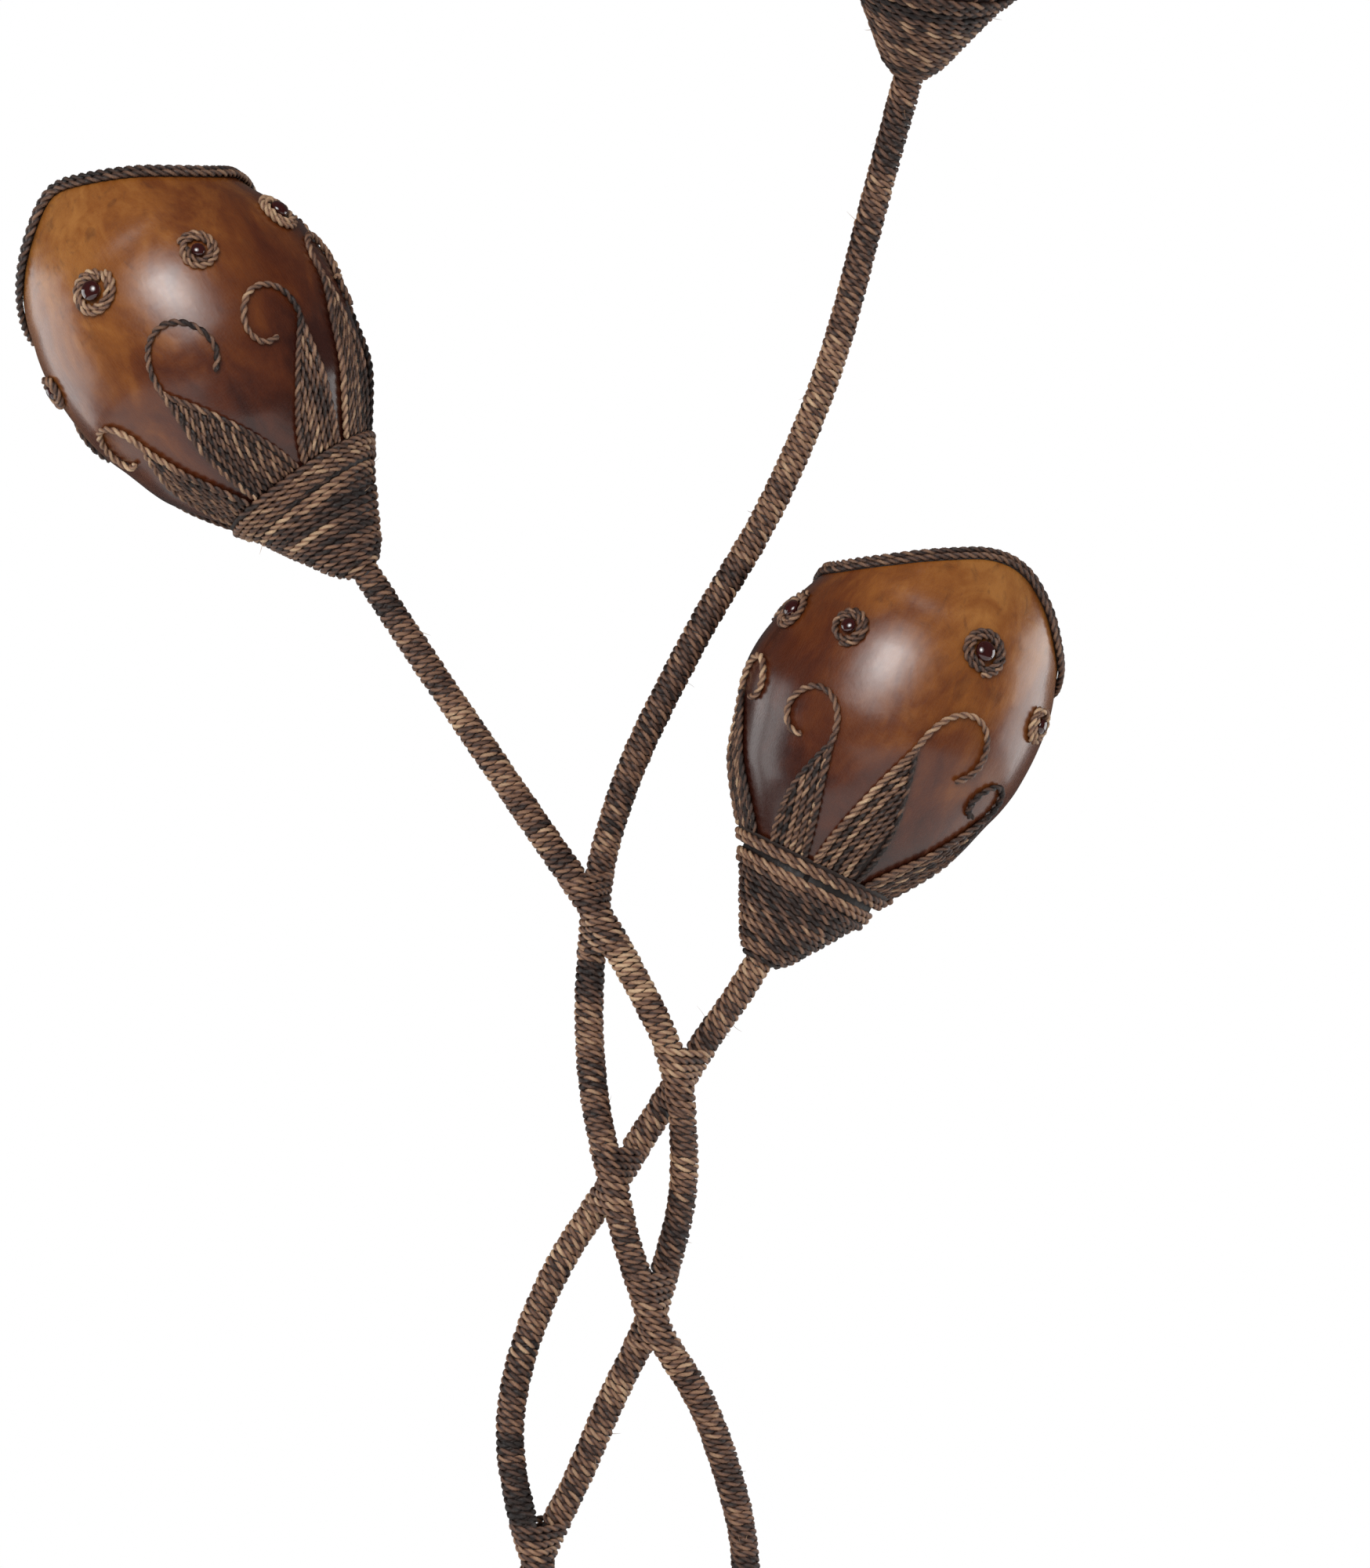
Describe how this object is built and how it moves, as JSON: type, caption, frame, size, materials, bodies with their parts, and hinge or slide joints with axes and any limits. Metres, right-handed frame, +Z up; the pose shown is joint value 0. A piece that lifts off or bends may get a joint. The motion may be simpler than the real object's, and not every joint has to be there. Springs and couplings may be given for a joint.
{
  "type": "floor lamp",
  "caption": "Floor lamp with open gourd shades on cord-wound cups, carried by braided cord-wrapped tube stems on a round weighted base.",
  "frame": {"origin": "centre of the base's underside, on the floor", "axes": "+Z up, the front of the lamp faces -Y, +X to the right seen from the front"},
  "size_m": [0.6685, 0.4295, 1.5586],
  "materials": {
    "lacquered_gourd": "glossy varnish over mottled brown gourd",
    "dark_cord": "twisted two-ply plant fibre, dark",
    "plant_cord": "twisted two-ply plant fibre, tan to near-black",
    "spun_metal": "dull",
    "black_plastic": "moulded",
    "frosted_glass": "opal",
    "cap_metal": "bright",
    "tube_steel": "primed",
    "flex_sheath": "matte",
    "nut_brass": "turned",
    "felt": "felt",
    "painted_sheet": "satin",
    "iron_weight": "rough",
    "rubber_black": "matte",
    "cream_plastic": "moulded"
  },
  "bodies": {
    "stand": {"left_cup": "spun_metal", "left_cup_wrap": "plant_cord", "left_lampholder": "black_plastic", "left_stem_tube": "tube_steel", "left_stem_wrap": "plant_cord", "left_flex": "flex_sheath", "left_tube_nut": "nut_brass", "right_cup": "spun_metal", "right_cup_wrap": "plant_cord", "right_lampholder": "black_plastic", "right_stem_tube": "tube_steel", "right_stem_wrap": "plant_cord", "right_flex": "flex_sheath", "right_tube_nut": "nut_brass", "top_cup": "spun_metal", "top_cup_wrap": "plant_cord", "top_lampholder": "black_plastic", "top_stem_tube": "tube_steel", "top_stem_wrap": "plant_cord", "top_flex": "flex_sheath", "top_tube_nut": "nut_brass", "lashing_1": "plant_cord", "lashing_2": "plant_cord", "lashing_3": "plant_cord", "lashing_4": "plant_cord", "lashing_5": "plant_cord", "lashing_6": "plant_cord", "lashing_7": "plant_cord", "lashing_8": "plant_cord", "base_felt": "felt", "base_plate": "painted_sheet", "base_weight": "iron_weight", "base_cover": "painted_sheet", "base_cord_cover": "plant_cord", "lead_grommet": "rubber_black", "terminal_block": "cream_plastic"},
    "left_shade_set": {"left_shade": "lacquered_gourd", "left_rim_cord": "dark_cord", "left_leaf_crown": "plant_cord", "left_collar_cord": "plant_cord"},
    "left_ring": {"left_shade_ring": "black_plastic"},
    "left_bulb": {"left_bulb_cap": "cap_metal", "left_bulb_glass": "frosted_glass"},
    "right_shade_set": {"right_shade": "lacquered_gourd", "right_rim_cord": "dark_cord", "right_leaf_crown": "plant_cord", "right_collar_cord": "plant_cord"},
    "right_ring": {"right_shade_ring": "black_plastic"},
    "right_bulb": {"right_bulb_cap": "cap_metal", "right_bulb_glass": "frosted_glass"},
    "top_shade_set": {"top_shade": "lacquered_gourd", "top_rim_cord": "dark_cord", "top_leaf_crown": "plant_cord", "top_collar_cord": "plant_cord"},
    "top_ring": {"top_shade_ring": "black_plastic"},
    "top_bulb": {"top_bulb_cap": "cap_metal", "top_bulb_glass": "frosted_glass"}
  },
  "joints": [
    {"name": "left_shade_lift", "type": "slide", "parent": "stand", "child": "left_shade_set", "axis": [-0.5793, 0, 0.8151], "range_m": [0, 0.13]},
    {"name": "left_ring_turn", "type": "hinge", "parent": "left_shade_set", "child": "left_ring", "pos_m": [-0.1696, 0, 1.032], "axis": [-0.5793, 0, 0.8151], "range_deg": [0, 720]},
    {"name": "left_bulb_out", "type": "slide", "parent": "stand", "child": "left_bulb", "axis": [-0.5793, 0, 0.8151], "range_m": [0, 0.035]},
    {"name": "right_shade_lift", "type": "slide", "parent": "stand", "child": "right_shade_set", "axis": [0.506, 0, 0.8625], "range_m": [0, 0.13]},
    {"name": "right_ring_turn", "type": "hinge", "parent": "right_shade_set", "child": "right_ring", "pos_m": [0.0701, 0, 0.7925], "axis": [0.506, 0, 0.8625], "range_deg": [0, 720]},
    {"name": "right_bulb_out", "type": "slide", "parent": "stand", "child": "right_bulb", "axis": [0.506, 0, 0.8625], "range_m": [0, 0.035]},
    {"name": "top_shade_lift", "type": "slide", "parent": "stand", "child": "top_shade_set", "axis": [0.1782, -0.515, 0.8384], "range_m": [0, 0.13]},
    {"name": "top_ring_turn", "type": "hinge", "parent": "top_shade_set", "child": "top_ring", "pos_m": [0.1582, -0.074, 1.321], "axis": [0.1782, -0.515, 0.8384], "range_deg": [0, 720]},
    {"name": "top_bulb_out", "type": "slide", "parent": "stand", "child": "top_bulb", "axis": [0.1782, -0.515, 0.8384], "range_m": [0, 0.035]}
  ]
}
